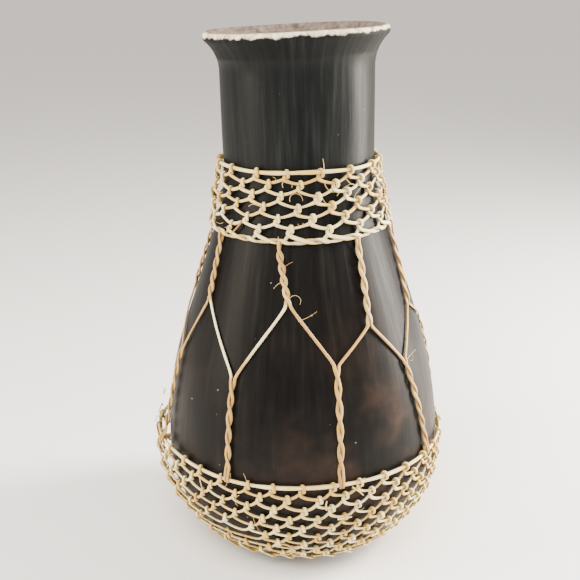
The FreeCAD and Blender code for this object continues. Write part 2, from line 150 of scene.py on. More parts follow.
TO_BELLY = base_radius * base_turn
TO_SHOULDER = TO_BELLY + SHOULDER * LEAN
TO_LEAN = TO_SHOULDER + hypot(shoulder_end[0] - lean_end, lean_top - shoulder_end[1])
TO_NECK = TO_LEAN + HOLLOW * LEAN
TO_FLARE = TO_NECK + flare_start - neck_start
TO_LIP = TO_FLARE + FLARE * FLARE_TURN


def arc(middle, level, size, turn):
    """A point on an arc and its outward direction; a hollow arc has a size below zero."""
    return middle + size * cos(turn), level + size * sin(turn), cos(turn), sin(turn)


def clay_line(along):
    """Radius, height and the outward direction, this far along the outside from the foot's edge."""
    if along < TO_BELLY:
        return arc(BELLY - base_radius, BELLY_HEIGHT, base_radius, along / base_radius - base_turn)
    if along < TO_SHOULDER:
        return arc(BELLY - SHOULDER, BELLY_HEIGHT, SHOULDER, (along - TO_BELLY) / SHOULDER)
    if along < TO_LEAN:
        run = along - TO_SHOULDER
        return shoulder_end[0] - run * sin(LEAN), shoulder_end[1] + run * cos(LEAN), cos(LEAN), sin(LEAN)
    if along < TO_NECK:
        return arc(NECK + HOLLOW, neck_start, -HOLLOW, LEAN - (along - TO_LEAN) / HOLLOW)
    if along < TO_FLARE:
        return NECK, neck_start + along - TO_NECK, 1.0, 0.0
    return arc(NECK + FLARE, flare_start, -FLARE, (TO_FLARE - along) / FLARE)


print("outside line is %.0f mm long" % (TO_LIP * 1000))

# %% [markdown]
# ## The unevenness of hand work
#
# No wheel was used, so the wall wanders by a millimetre or two, and the lip is higher on one side.
# One function gives that wander for the clay and for the net that lies on it, so the strands stay
# on the surface. It is a sum of a few slow waves, which is smoother than random noise.

# %% Wander of the wall and tilt of the lip
LIP_TILT = 1.9 * mm
FOOT_FADE = 25 * mm
SLACK_LEFT, SLACK_RIGHT, SLACK_SPREAD = -1.7, 1.6, 0.5


def wander(angle, z):
    """How far the wall stands out from the true turned shape."""
    share = z / HEIGHT
    slow = 1.6 * sin(angle + 3.6 * (share - 0.63)) + 0.5 * sin(2 * angle - 1.1 + 5.0 * share)
    quick = 0.25 * sin(5 * angle + 11 * share) + 0.2 * sin(3 * angle - 17 * share + 0.4)
    fade = min(1, z / FOOT_FADE)
    return (slow * (0.4 + 0.5 * share) + quick) * fade * mm


def lip_rise(angle, z):
    """The top of the pot leans up to the right and wavers a little."""
    reach_up = max(0.0, (z - 0.86 * HEIGHT) / (0.14 * HEIGHT))
    return reach_up ** 1.5 * (LIP_TILT * sin(angle) + 0.3 * mm * sin(3 * angle + 0.8))


def swell(distance, spread):
    """1 at no distance, falling smoothly to nothing a few spreads away."""
    return exp(-(distance / spread) ** 2)


def slack(angle, along):
    """The net is slack at the sides, most of all low on the left, and stands off the clay there."""
    left, right = (swell((angle - side + pi) % (2 * pi) - pi, SLACK_SPREAD)
                   for side in (SLACK_LEFT, SLACK_RIGHT))
    low = swell(along - TO_BELLY + 10 * mm, 38 * mm)
    high = swell(along - TO_NECK + 22 * mm, 18 * mm)
    return (8.4 * left * low + (2.4 * right + 4.2 * left) * high) * mm


def place(angle, along, lift=0.0):
    """A point on the clay, or lifted off it; angle 0 is the front, and angles grow to the right."""
    radius, z, out, up = clay_line(along)
    if lift > 0:
        lift += slack(angle, along)
    around = radius + wander(angle, z) + lift * out
    return Vector((around * sin(angle), -around * cos(angle), z + lift * up + lip_rise(angle, z)))


def directions(angle, along):
    """Sideways, upwards along the clay, and outwards, as unit vectors."""
    _, _, out, up = clay_line(along)
    side = Vector((cos(angle), sin(angle), 0))
    outward = Vector((out * sin(angle), -out * cos(angle), up))
    upward = Vector((-up * sin(angle), up * cos(angle), out))
    return side, upward, outward


print("lip tilts by %.1f mm from left to right" % (2 * LIP_TILT * 1000))

# %% [markdown]
# ## The clay shell
#
# The pot could be a Spin or a Screw modifier, but a wandering wall needs its own rings of points. The
# rings start under the flat foot, climb the outside, go over the lip, come down the inside at the
# wall's thickness and end on the floor. Every ring has the same number of points, so the shell is
# plain quads that shade smoothly, closed by a fan of triangles under the foot and on the floor.

# %% Rings of points for the shell
RING_POINTS = 224
OUTSIDE_RINGS = 150
INSIDE_RINGS = 70
LIP_RINGS = 12


def shell_rows():
    """(along, inward lift, over-the-lip turn) of every ring from the foot's edge to the floor."""
    rows = [(TO_LIP * step / OUTSIDE_RINGS, 0.0, None) for step in range(1, OUTSIDE_RINGS + 1)]
    rows += [(TO_LIP, None, pi * step / LIP_RINGS) for step in range(1, LIP_RINGS)]
    floor_turn = asin((BELLY_HEIGHT - FLOOR) / (base_radius - WALL))
    last = base_radius * (base_turn - floor_turn)
    inside_run = last - TO_LIP
    rows += [(TO_LIP + inside_run * step / INSIDE_RINGS, -WALL, None) for step in range(INSIDE_RINGS + 1)]
    return rows


def shell_point(angle, along, lift, over):
    """A ring's point at this angle."""
    if over is None:
        return place(angle, along, lift)
    middle = place(angle, along, -WALL / 2)
    _, upward, outward = directions(angle, along)
    return middle + (outward * cos(over) + upward * sin(over)) * WALL / 2


def flat_ring(radius, z):
    return [Vector((radius * sin(2 * pi * n / RING_POINTS), -radius * cos(2 * pi * n / RING_POINTS), z))
            for n in range(RING_POINTS)]


FOOT_RINGS = (12 * mm, 30 * mm, 44 * mm, FOOT - 2.5 * mm, FOOT - 0.8 * mm)
FLOOR_RINGS = (0.9, 0.6, 0.25)

rings = [flat_ring(radius, 0.0) for radius in FOOT_RINGS]
rings += [[shell_point(2 * pi * n / RING_POINTS, *row) for n in range(RING_POINTS)] for row in shell_rows()]
floor_edge = sum(hypot(p.x, p.y) for p in rings[-1]) / RING_POINTS
rings += [flat_ring(floor_edge * share, FLOOR) for share in FLOOR_RINGS]

# 0 outside, 1 inside, and in between over the lip, for the worn finish and the painted shade inside the lip
inward = [0.0] * (len(FOOT_RINGS) + OUTSIDE_RINGS) + [step / LIP_RINGS for step in range(1, LIP_RINGS)]
inward += [1.0] * (len(rings) - len(inward))
print("shell has %d rings" % len(rings))

# %% Join the rings into one closed mesh
corners = [point for ring in rings for point in ring] + [Vector((0, 0, 0)), Vector((0, 0, FLOOR))]
under, inside = len(corners) - 2, len(corners) - 1
last_ring = (len(rings) - 1) * RING_POINTS
faces = []
for n in range(RING_POINTS):
    after = (n + 1) % RING_POINTS
    faces.append((under, after, n))
    faces.append((inside, last_ring + n, last_ring + after))
    for row in range(len(rings) - 1):
        low = row * RING_POINTS
        faces.append((low + n, low + after, low + RING_POINTS + after, low + RING_POINTS + n))
shell_mesh = bpy.data.meshes.new("clay_shell")
shell_mesh.from_pydata(corners, [], faces)
shell_mesh.validate()
side_of_wall = shell_mesh.attributes.new("inward", "FLOAT", "POINT")
side_of_wall.data.foreach_set("value", [share for share in inward for _ in range(RING_POINTS)] + [0.0, 1.0])
shell_mesh.polygons.foreach_set("use_smooth", [True] * len(shell_mesh.polygons))
clay_shell = put("clay_shell", shell_mesh)
print("shell has %d faces" % len(faces))

# %% [markdown]
# ## Burnished black clay
#
# The black goes right through the clay, because smoke does it and not a glaze. Rubbing with a stone
# leaves narrow upright strokes that differ a little in shine, so the sheen breaks into soft streaks.
# Where the fire reached in, the black warms to brown, and the lip is rubbed pale by use. Noise that
# is squeezed round the pot and stretched upwards gives the strokes; Object coordinates keep the
# pattern fixed to the clay at real size.

# %% Black clay, rubbed with a stone and smoke fired
STROKE_WIDTH = 5 * mm
STROKE_STRETCH = 0.09  # smaller makes longer strokes
UNROLLED_AT = 80 * mm  # the strokes are spaced for a pot of this radius
BROWN_PATCH = 55 * mm
CLOUD = 14 * mm
GRIT_SPACING = 9 * mm
LIP_RAG = 7 * mm  # size of the rags in the worn edge
RAG_REACH = 6 * mm  # how far a rag reaches down
LIP_MOTTLE = 5 * mm
INSIDE_WEAR_REACH = 9 * mm  # how much further the pale band goes down inside, where painted shade darkens it
LIP_REACH = 56 * mm  # from the middle to the lip, where LIP_TILT counts in full


def burnished_black_clay():
    made, tree = empty_material("burnished_black_clay")
    where = add(tree, "ShaderNodeTexCoord").outputs["Object"]
    x, y, z = add(tree, "ShaderNodeSeparateXYZ", Vector=where).outputs
    flat = add(tree, "ShaderNodeCombineXYZ", X=x, Y=y)
    round_pot = add(tree, "ShaderNodeVectorMath", {"operation": "NORMALIZE"}, i0=flat)
    unrolled = add(tree, "ShaderNodeVectorMath", SCALE, i0=round_pot, Scale=UNROLLED_AT)
    upright = add(tree, "ShaderNodeCombineXYZ", Z=z)
    slow_up = add(tree, "ShaderNodeVectorMath", SCALE, i0=upright, Scale=STROKE_STRETCH)
    stroke_at = add(tree, "ShaderNodeVectorMath", ADD, i0=unrolled, i1=slow_up)
    strokes = add(tree, "ShaderNodeTexNoise", Vector=stroke_at, Scale=1 / STROKE_WIDTH, Detail=3.0,
                  Roughness=0.6)
    broad = add(tree, "ShaderNodeTexNoise", Vector=where, Scale=1 / BROWN_PATCH, Detail=3.0, Roughness=0.55)
    cloud = add(tree, "ShaderNodeTexNoise", Vector=where, Scale=1 / CLOUD, Detail=4.0, Roughness=0.6)

    # brown comes through low down on one side, in patches
    lower = add(tree, "ShaderNodeMapRange", SMOOTH, Value=z, From_Min=215 * mm, From_Max=90 * mm)
    side = add(tree, "ShaderNodeMapRange", SMOOTH, Value=x,
               From_Min=-50 * mm, From_Max=45 * mm, To_Min=0.25, To_Max=1.0)
    patch = add(tree, "ShaderNodeMapRange", SMOOTH, Value=broad, From_Min=0.38, From_Max=0.62)
    warm = add(tree, "ShaderNodeMath", MULTIPLY, i0=lower, i1=side)
    warm = add(tree, "ShaderNodeMath", MULTIPLY, i0=warm, i1=patch)
    belly_black = ramp(tree, strokes, [(0.3, "#080707"), (0.55, "#0e0d0c"), (0.75, "#1a1816")])
    neck_grey = ramp(tree, strokes, [(0.3, "#0d0f0f"), (0.55, "#141616"), (0.75, "#212322")])
    at_neck = add(tree, "ShaderNodeMapRange", SMOOTH, Value=z, From_Min=215 * mm, From_Max=300 * mm)
    black = add(tree, "ShaderNodeMix", COLOUR, i0=at_neck, i6=belly_black, i7=neck_grey)
    brown = ramp(tree, cloud, [(0.3, "#1a1411"), (0.7, "#33261e")])
    body = add(tree, "ShaderNodeMix", COLOUR, i0=warm, i6=black.outputs[2], i7=brown)

    # pale grit and small knocks that cut through the shine
    grit = add(tree, "ShaderNodeTexVoronoi", Vector=where, Scale=1 / GRIT_SPACING)
    grain = add(tree, "ShaderNodeMapRange", Value=grit, From_Min=0.075, From_Max=0.04)
    chance = add(tree, "ShaderNodeSeparateColor", Color=grit.outputs["Color"])
    kept = add(tree, "ShaderNodeMath", {"operation": "GREATER_THAN"}, i0=chance, i1=0.72)
    speck = add(tree, "ShaderNodeMath", MULTIPLY, i0=grain, i1=kept)
    speck = add(tree, "ShaderNodeMath", MULTIPLY, i0=speck, i1=0.55)
    specked = add(tree, "ShaderNodeMix", COLOUR, i0=speck, i6=body.outputs[2], i7=linear("#a79f93"))

    # the top of the lip is rubbed pale, with a ragged edge, and the pale goes further down inside, where
    # painted shade darkens it
    rag = add(tree, "ShaderNodeTexNoise", Vector=where, Scale=1 / LIP_RAG, Detail=5.0, Roughness=0.65)
    lean = add(tree, "ShaderNodeMath", MULTIPLY_ADD, i0=x, i1=-LIP_TILT / LIP_REACH, i2=z)
    ragged = add(tree, "ShaderNodeMath", MULTIPLY_ADD, i0=rag, i1=RAG_REACH, i2=lean)
    inward_share = add(tree, "ShaderNodeAttribute", {"attribute_name": "inward"}).outputs["Fac"]
    inner = add(tree, "ShaderNodeMapRange", Value=inward_share, From_Min=0.45, From_Max=0.8,
                To_Max=INSIDE_WEAR_REACH)
    reached = add(tree, "ShaderNodeMath", ADD, i0=ragged, i1=inner)
    worn = add(tree, "ShaderNodeMapRange", SMOOTH, Value=reached,
               From_Min=HEIGHT - 0.6 * mm, From_Max=HEIGHT + 1.0 * mm)
    mottle = add(tree, "ShaderNodeTexNoise", Vector=where, Scale=1 / LIP_MOTTLE, Detail=5.0, Roughness=0.7)
    rubbed_pale = ramp(tree, mottle, [(0.3, "#4d4138"), (0.42, "#b8a88c"), (0.58, "#ece1c6")])
    # painted shade: inside the lip the pale worn band takes a darker copy of its colour
    shaded_wear = ramp(tree, mottle, [(0.3, "#3f3731"), (0.65, "#857469")])
    shaded_side = add(tree, "ShaderNodeMapRange", Value=inward_share, From_Min=0.56, From_Max=0.7)
    pale = add(tree, "ShaderNodeMix", COLOUR, i0=shaded_side, i6=rubbed_pale, i7=shaded_wear)
    coloured = add(tree, "ShaderNodeMix", COLOUR, i0=worn, i6=specked.outputs[2], i7=pale.outputs[2])

    sheen = add(tree, "ShaderNodeMapRange", Value=strokes, From_Min=0.25, From_Max=0.75,
                To_Min=0.34, To_Max=0.52)
    under_lip = add(tree, "ShaderNodeMapRange", SMOOTH, Value=ragged,
                    From_Min=HEIGHT - 15 * mm, From_Max=HEIGHT - 12 * mm)
    rubbed = add(tree, "ShaderNodeMix", i0=under_lip, i2=sheen, i3=0.7)
    height = add(tree, "ShaderNodeMath", MULTIPLY_ADD, i0=cloud, i1=0.6, i2=strokes)
    relief = add(tree, "ShaderNodeBump", Height=height, Distance=0.25 * mm, Strength=0.5)
    shader = add(tree, "ShaderNodeBsdfPrincipled", Base_Color=coloured.outputs[2], Roughness=rubbed,
                 Normal=relief, IOR=1.45, Specular_IOR_Level=0.1)
    add(tree, "ShaderNodeOutputMaterial", Surface=shader)
    return made


black_clay = burnished_black_clay()
shell_mesh.materials.append(black_clay)
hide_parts("clay_pot")
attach(clay_shell, "root")
print("material", black_clay.name)

# %% [markdown]
# ## One tree for every strand
#
# Split cane is a flat strip: the shiny rind on one side and pith on the other, with fibres running
# along it. A Curve object with a bevel would make round wire, so the strand is made in Geometry
# Nodes instead. Its input is a chain of corner points, and each point carries the direction that the
# strip's flat side faces. The tree turns the chain to a smooth curve, sweeps a flat oval along it,
# raises the fibres a little, and stores where each point lies along and across the strip for the
# material.

# %% The strand tree
STRIP_SIDES = 12


def strand_tree():
    tree = bpy.data.node_groups.new("cane_strip", "GeometryNodeTree")
    socket = tree.interface.new_socket
    socket("Geometry", in_out="OUTPUT", socket_type="NodeSocketGeometry")
    for name, kind in (("Geometry", "Geometry"), ("Seed", "Int"), ("Material", "Material")):
        socket(name, in_out="INPUT", socket_type="NodeSocket" + kind)
    for name, value in (("Width", 2.6 * mm), ("Thickness", 1.3 * mm), ("Step", 0.6 * mm),
                        ("Fibre Height", 0.09 * mm)):
        socket(name, in_out="INPUT", socket_type="NodeSocketFloat").default_value = value
    given = add(tree, "NodeGroupInput").outputs

    chain = add(tree, "GeometryNodeMeshToCurve", Mesh=given["Geometry"])
    smooth = add(tree, "GeometryNodeCurveSplineType", {"spline_type": "NURBS"}, Curve=chain)
    even = add(tree, "GeometryNodeResampleCurve", {"mode": "LENGTH"}, Curve=smooth, Length=given["Step"])

    # the flat side faces as told, squared up to the strand's direction
    facing = add(tree, "GeometryNodeInputNamedAttribute", {"data_type": "FLOAT_VECTOR"}, Name="facing")
    tangent = add(tree, "GeometryNodeInputTangent")
    lean = add(tree, "ShaderNodeVectorMath", {"operation": "DOT_PRODUCT"}, i0=facing, i1=tangent)
    off = add(tree, "ShaderNodeVectorMath", SCALE, i0=tangent, Scale=lean.outputs["Value"])
    square = add(tree, "ShaderNodeVectorMath", {"operation": "SUBTRACT"}, i0=facing, i1=off)
    unit = add(tree, "ShaderNodeVectorMath", {"operation": "NORMALIZE"}, i0=square)
    turned = add(tree, "GeometryNodeSetCurveNormal", {"mode": "FREE"}, Curve=even, Normal=unit)

    along = add(tree, "GeometryNodeSplineParameter")
    marked = add(tree, "GeometryNodeStoreNamedAttribute", Geometry=turned, Name="along",
                 Value=along.outputs["Length"])

    # a flat oval for the strip's section
    circle = add(tree, "GeometryNodeCurvePrimitiveCircle", Resolution=STRIP_SIDES, Radius=1.0)
    spot = add(tree, "GeometryNodeInputPosition")
    x, y, _ = add(tree, "ShaderNodeSeparateXYZ", Vector=spot).outputs
    half_width = add(tree, "ShaderNodeMath", MULTIPLY, i0=given["Width"], i1=0.5)
    half_thick = add(tree, "ShaderNodeMath", MULTIPLY, i0=given["Thickness"], i1=0.5)
    through = add(tree, "ShaderNodeMath", MULTIPLY, i0=x, i1=half_thick)
    across = add(tree, "ShaderNodeMath", MULTIPLY, i0=y, i1=half_width)
    oval = add(tree, "ShaderNodeCombineXYZ", X=through, Y=across)
    section = circle
    for name, axis in (("across", y), ("through", x)):
        section = add(tree, "GeometryNodeStoreNamedAttribute", Geometry=section, Name=name, Value=axis)
    section = add(tree, "GeometryNodeSetPosition", Geometry=section, Position=oval)

    run, cross, depth, wide = (add(tree, "GeometryNodeInputNamedAttribute", Name=name)
                               for name in ("along", "across", "through", "wide"))

    # the strip is split by hand, so its width wanders
    seed = add(tree, "ShaderNodeMath", MULTIPLY, i0=given["Seed"], i1=7.31)
    drift = add(tree, "ShaderNodeTexNoise", {"noise_dimensions": "2D"}, Scale=60.0, Detail=2.0,
                Vector=add(tree, "ShaderNodeCombineXYZ", X=along.outputs["Length"], Y=seed))
    wander_width = add(tree, "ShaderNodeMapRange", Value=drift, From_Min=0.25, From_Max=0.75,
                       To_Min=0.88, To_Max=1.12)
    scale = add(tree, "ShaderNodeMath", MULTIPLY, i0=wide, i1=wander_width)
    swept = add(tree, "GeometryNodeCurveToMesh", Curve=marked, Profile_Curve=section,
                Scale=scale, Fill_Caps=True)

    # fibres: ridges that run along the strip
    slow = add(tree, "ShaderNodeMath", MULTIPLY, i0=run, i1=70.0)
    lanes = add(tree, "ShaderNodeMath", MULTIPLY_ADD, i0=cross, i1=2.6, i2=seed)
    fibre_at = add(tree, "ShaderNodeCombineXYZ", X=slow, Y=lanes, Z=depth)
    fibre = add(tree, "ShaderNodeTexNoise", Vector=fibre_at, Scale=1.0, Detail=2.0)
    centred = add(tree, "ShaderNodeMath", {"operation": "SUBTRACT"}, i0=fibre, i1=0.5)
    high = add(tree, "ShaderNodeMath", MULTIPLY, i0=centred, i1=given["Fibre Height"])
    doubled = add(tree, "ShaderNodeMath", MULTIPLY, i0=high, i1=4.0)
    outward = add(tree, "GeometryNodeInputNormal")
    push = add(tree, "ShaderNodeVectorMath", SCALE, i0=outward, Scale=doubled)
    raised = add(tree, "GeometryNodeSetPosition", Geometry=swept, Offset=push)

    shaded = add(tree, "GeometryNodeSetShadeSmooth", Geometry=raised)
    real = add(tree, "GeometryNodeRealizeInstances", Geometry=shaded)
    finished = add(tree, "GeometryNodeSetMaterial", Geometry=real, Material=given["Material"])
    add(tree, "NodeGroupOutput", Geometry=finished)
    return tree


cane_strip = strand_tree()
print("strand tree has %d nodes" % len(cane_strip.nodes))

# %% [markdown]
# ## From a route to a strand
#
# A route is a list of corners. Each corner says where it is on the clay, which way the flat side of
# the strip faces there, how wide the strip is, and its tone from pale to tan. `strand` hangs the tree
# on that chain, takes the finished mesh, and hides the solid that it stands for. One route can
# go round the whole pot, because one length of cane does.

# %% Routes and strands
OUT = Vector((0, 0, 1))


class Corner:
    """One corner of a route: place on the clay, facing as (side, up, out), width share and tone."""

    def __init__(self, angle, along, lift, facing, wide=1.0, tone=0.3):
        self.spot = place(angle, along, lift)
        side, upward, outward = directions(angle, along)
        self.facing = (side * facing[0] + upward * facing[1] + outward * facing[2]).normalized()
        self.wide = wide
        self.tone = tone


def chain_mesh(name, routes):
    """Every route as a chain of edges, with what the tree reads at each corner."""
    corners = [corner for route in routes for corner in route]
    edges, first = [], 0
    for route in routes:
        edges += [(first + n, first + n + 1) for n in range(len(route) - 1)]
        first += len(route)
    mesh = bpy.data.meshes.new(name)
    mesh.from_pydata([corner.spot for corner in corners], edges, [])
    facing = mesh.attributes.new("facing", "FLOAT_VECTOR", "POINT")
    facing.data.foreach_set("vector", [value for corner in corners for value in corner.facing])
    for key in ("wide", "tone"):
        stored = mesh.attributes.new(key, "FLOAT", "POINT")
        stored.data.foreach_set("value", [getattr(corner, key) for corner in corners])
    return mesh


def sweep_strip(name, routes, material, **values):
    """Run the strand tree on these routes and keep the result as a plain mesh."""
    chain = put(name + "_chain", chain_mesh(name + "_chain", routes))
    modifier = chain.modifiers.new("strip", "NODES")
    modifier.node_group = cane_strip
    given = {"Material": material, "Seed": len(bpy.data.meshes), **values}
    for item in cane_strip.interface.items_tree:
        if item.in_out == "INPUT" and item.name in given:
            modifier[item.identifier] = given[item.name]
    chain.update_tag()
    evaluated = chain.evaluated_get(bpy.context.evaluated_depsgraph_get())
    mesh = bpy.data.meshes.new_from_object(evaluated)
    bpy.data.objects.remove(chain)
    mesh.name = name
    return put(name, mesh)


def strand(node, route, material, slot, half_wide, half_thick):
    """A strand that stands in for one solid of the model."""
    made = sweep_strip(node + "_strip", [route], material, Width=2 * half_wide, Thickness=2 * half_thick)
    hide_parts(node)
    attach(made, "root")


# %% [markdown]
# ## Dry split cane
#
# Split cane is straw coloured, and darker where the rind stays on. Its colour runs in streaks along
# the fibres, it has a shine on the rind side only, and its edges are hairy. Painted shade darkens the
# edges of the strip and the grooves between the fibres. The streaks come from noise that is stretched
# along the strip: `along` and `across` are the places that the tree stored, so they follow every bend.
# Tone picks a colour between pale pith and tan rind.

# %% Split cane, dried and scraped
STAIN = 16 * mm


def split_cane(name, pale, straw, tan_rind, shade):
    made, tree = empty_material(name)
    along, across, through, tone = (
        add(tree, "ShaderNodeAttribute", {"attribute_name": key}).outputs["Fac"]
        for key in ("along", "across", "through", "tone"))
    run = add(tree, "ShaderNodeMath", MULTIPLY, i0=along, i1=90.0)
    lane = add(tree, "ShaderNodeMath", MULTIPLY, i0=across, i1=3.2)
    fibre_at = add(tree, "ShaderNodeCombineXYZ", X=run, Y=lane, Z=through)
    fibres = add(tree, "ShaderNodeTexNoise", Vector=fibre_at, Scale=1.0, Detail=4.0, Roughness=0.6)
    where = add(tree, "ShaderNodeTexCoord").outputs["Object"]
    stains = add(tree, "ShaderNodeTexNoise", Vector=where, Scale=1 / STAIN, Detail=2.0)

    spread = add(tree, "ShaderNodeMath", MULTIPLY_ADD, i0=fibres, i1=0.5, i2=-0.25)
    mixed = add(tree, "ShaderNodeMath", ADD, i0=tone, i1=spread)
    stained = add(tree, "ShaderNodeMath", MULTIPLY_ADD, i0=stains, i1=0.5, i2=-0.25)
    chosen = add(tree, "ShaderNodeMath", ADD, i0=mixed, i1=stained)
    colour = ramp(tree, chosen, [(0.0, pale), (0.4, straw), (1.0, tan_rind)])
    # painted shade: the strip's edges and the grooves between its fibres are mixed towards the shade colour
    edge = add(tree, "ShaderNodeMath", {"operation": "ABSOLUTE"}, i0=across)
    edge_shade = add(tree, "ShaderNodeMapRange", Value=edge, From_Min=0.6, From_Max=1.0, To_Max=0.6)
    fibre_groove_shade = add(tree, "ShaderNodeMapRange", Value=fibres, From_Min=0.43, From_Max=0.3, To_Max=0.75)
    dark = add(tree, "ShaderNodeMath", {"operation": "MAXIMUM"}, i0=edge_shade, i1=fibre_groove_shade)
    shaded = add(tree, "ShaderNodeMix", COLOUR, i0=dark, i6=colour, i7=linear(shade))
    rind = add(tree, "ShaderNodeMapRange", Value=through, From_Min=-0.2, From_Max=0.4, To_Min=0.7,
               To_Max=0.42)
    relief = add(tree, "ShaderNodeBump", Height=fibres, Distance=0.12 * mm, Strength=0.6)
    shader = add(tree, "ShaderNodeBsdfPrincipled", Base_Color=shaded.outputs[2], Roughness=rind,
                 Normal=relief)
    add(tree, "ShaderNodeOutputMaterial", Surface=shader)
    return made


straw_cane = split_cane("straw_split_cane", "#f5e4a8", "#d0ab55", "#8c6024", "#42290e")
tan_cane = split_cane("tan_split_cane", "#f6e8b8", "#c79d54", "#86602c", "#3e280f")
print("materials", straw_cane.name, tan_cane.name)

# %% [markdown]
# ## Where the knots lie
#
# A net like this is worked from the hoop downwards. Every knot hangs on the middle of a loop of the
# row above, so its place follows from the row and the number. Hand work is uneven, so each knot is
# moved a little by a pair of waves.

# %% Rows of knots
HALF_WIDE = 1.12 * mm
HALF_THICK = 0.7 * mm
STRIP = (HALF_WIDE, HALF_THICK)
LAY = 2.2 * mm  # from the clay to the middle of a strand
NECK_HOOP = (1.3 * mm, 0.8 * mm)
BASE_HOOP = (1.4 * mm, 0.9 * mm)
NECK_COURSES = 5
BASE_COURSES = 9
HANGERS = 8
NECK_LOOPS = 16
BASE_LOOPS = 33
RING_LOW = 0.68  # where a ring loop is lowest, as a share of the way to the next knot

neck_hoop_along = TO_NECK - 0.6 * mm
base_hoop_along = TO_BELLY + 8.7 * mm
neck_row, base_row = 7.2 * mm, 8.0 * mm
ring_along = neck_hoop_along - NECK_COURSES * neck_row - 7.9 * mm
closing_along = base_hoop_along - (BASE_COURSES - 1) * base_row - 9.9 * mm
hoop_lift = 2.6 * mm
ring_lift = LAY + 0.3 * mm


def waver(number, row):
    """Between -1 and 1, different for each knot."""
    return 0.6 * sin(1.9 * number + 2.3 * row) + 0.4 * sin(3.7 * number - 1.1 * row)


def around_at(angle, along):
    """How far the clay is from the pot's axis here."""
    return hypot(*place(angle, along).xy)


class Knots:
    """The knots of one net, row below row."""

    def __init__(self, loops, first_angle, top, row_step, side_step, uneven_angle, uneven_along, fall):
        """side_step moves each row round by this share of a loop; fall is how far along its loop a
        strand has come when it stops falling steeply."""
        self.loops, self.pitch = loops, 2 * pi / loops
        self.first_angle = radians(first_angle)
        self.top, self.row_step, self.side_step = top, row_step, side_step
        self.uneven_angle, self.uneven_along = radians(uneven_angle), uneven_along
        self.fall = fall

    def at(self, row, number):
        """Angle and place along the clay; numbers past the last go round again."""
        turns, number = divmod(number, self.loops)
        angle = self.first_angle + (number + row * self.side_step) * self.pitch + 2 * pi * turns
        angle += self.uneven_angle * waver(number, row)
        along = self.top - row * self.row_step
        if row > 0:
            along += self.uneven_along * waver(number + 5, row + 3)
        return angle, along


neck_knots = Knots(NECK_LOOPS, -187.5, neck_hoop_along, neck_row, 0.43, 1.2, 0.8 * mm, 0.42)
base_knots = Knots(BASE_LOOPS, -174.8, base_hoop_along, base_row, 0.5, 0.7, 0.7 * mm, 0.3)
print("%d knots" % (NECK_LOOPS * (NECK_COURSES + 1) + BASE_LOOPS * BASE_COURSES))

# %% [markdown]
# ## Half hitches
#
# A half hitch comes in from below, goes up the front of the strand that holds it, over and down
# behind, and leaves across its own arriving leg. The strip turns over each time it is wrapped, so
# its facing changes sign from one hitch to the next. `hitch` writes the eight corners of one knot in
# half widths and half thicknesses of the strip.

# %% One half hitch
END_WIDE = 0.8


def tone_at(number, row):
    """Cane differs from strand to strand and a little along each."""
    return 0.26 + 0.16 * sin(2.7 * row + 0.8) + 0.1 * sin(0.9 * number + 1.7 * row)


def hitch(knot, lift, held, sign, wide, tone):
    """The corners of a half hitch round a strip of half sizes held (width, thickness)."""
    angle, along = knot
    around = around_at(angle, along)
    high = (held[0] + HALF_THICK) * 1.06
    deep = (held[1] + HALF_THICK) * 1.12
    below = held[0] - HALF_WIDE
    corners = [
        (-1.1, -3.3 * HALF_WIDE - below, -HALF_THICK, (0, 0, 1)),
        (0.8, -2.4 * HALF_WIDE - below, -0.2 * HALF_THICK, (0, -0.4, 1)),
        (1.15, -0.97 * high, 0.98 * deep, (0, -0.6, 0.8)),
        (0.6, high, 1.02 * deep, (0, 0.7, 0.7)),
        (-0.1, high, -0.98 * deep, (0, 0.7, -0.7)),
        (-0.9, -0.7 * high, -0.98 * deep, (0, -0.3, -1)),
        (-1.5, -2.7 * HALF_WIDE - below, 1.4 * HALF_THICK, (0, 0, -1)),
        (-1.1, -4.3 * HALF_WIDE - below, 1.1 * HALF_THICK, (0, 0, -1)),
    ]
    return [Corner(angle + side * HALF_WIDE / around, along + up, lift + out, Vector(facing) * sign,
                   wide, tone) for side, up, out, facing in corners]


def with_ends(corners, knot, lift):
    """The strand starts as a short tail in front of its first knot and ends tucked behind it."""
    angle, along = knot
    around = around_at(angle, along)
    start = Corner(angle + 3.2 * HALF_WIDE / around, along - 3.6 * HALF_WIDE, lift + 2.2 * HALF_THICK, OUT,
                   END_WIDE, corners[2].tone)
    tucked = Corner(angle + 0.1 * HALF_WIDE / around, along - 3.0 * HALF_WIDE, lift - HALF_THICK, OUT,
                    END_WIDE, corners[0].tone)
    return [start, start] + corners[2:] + [corners[0], tucked]


# %% [markdown]
# ## A course of loops
#
# Each course is one length of cane: a hitch, a loop that hangs down to where the next row is tied,
# and the next hitch, all the way round. The lowest course goes round the closing ring instead.

# %% Courses
SLIM = 0.87  # a loop is pulled narrower than the knots it hangs from
KNOT_WIDE = 1.08
UNTIED = {5: (10, 11), 6: (9, 10, 11)}  # by row, the knots low at the front left that were never tied


def loop_width(number, row):
    """Cane that was split by hand is wider in one loop than in the next."""
    return 1.0 + 0.09 * sin(1.3 * number + row) + 0.05 * sin(3.1 * number - 2 * row)


